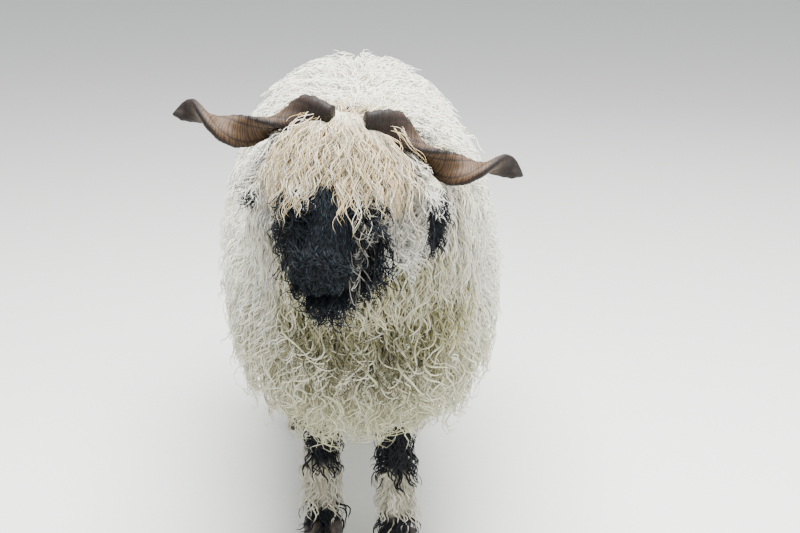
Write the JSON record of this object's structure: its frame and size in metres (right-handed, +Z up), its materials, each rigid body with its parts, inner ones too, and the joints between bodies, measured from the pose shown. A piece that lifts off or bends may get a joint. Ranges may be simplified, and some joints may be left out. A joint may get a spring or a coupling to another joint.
{
  "type": "valais blacknose sheep",
  "caption": "Standing life-size long-woolled sheep with black muzzle, ears and knees, wavy forelock and outspread corkscrew horns.",
  "frame": {"origin": "on the floor, below the middle of the animal's bounding box", "axes": "+Z up; the sheep faces -Y, with its left side at +X"},
  "size_m": [0.5626, 1.4072, 0.8574],
  "materials": {
    "fleece": "matt curled off-white wool",
    "black_wool": "soft black wool and short hair",
    "leg_wool": "matt dusty wool, black at the joints",
    "horn": "ribbed brown horn, softly worn",
    "eye": "wet and glossy",
    "hoof": "dull dark horn",
    "skin": "dark skin under the hair"
  },
  "bodies": {
    "root": {"torso": "fleece", "neck": "fleece", "tail": "fleece", "head": "black_wool", "leg_front_left": "leg_wool", "leg_front_right": "leg_wool", "leg_hind_left": "leg_wool", "leg_hind_right": "leg_wool", "hoof_front_left": "hoof", "hoof_front_right": "hoof", "hoof_hind_left": "hoof", "hoof_hind_right": "hoof", "ear_left": "black_wool", "eye_left": "eye", "horn_left": "horn", "ear_right": "black_wool", "eye_right": "eye", "horn_right": "horn"}
  },
  "joints": []
}
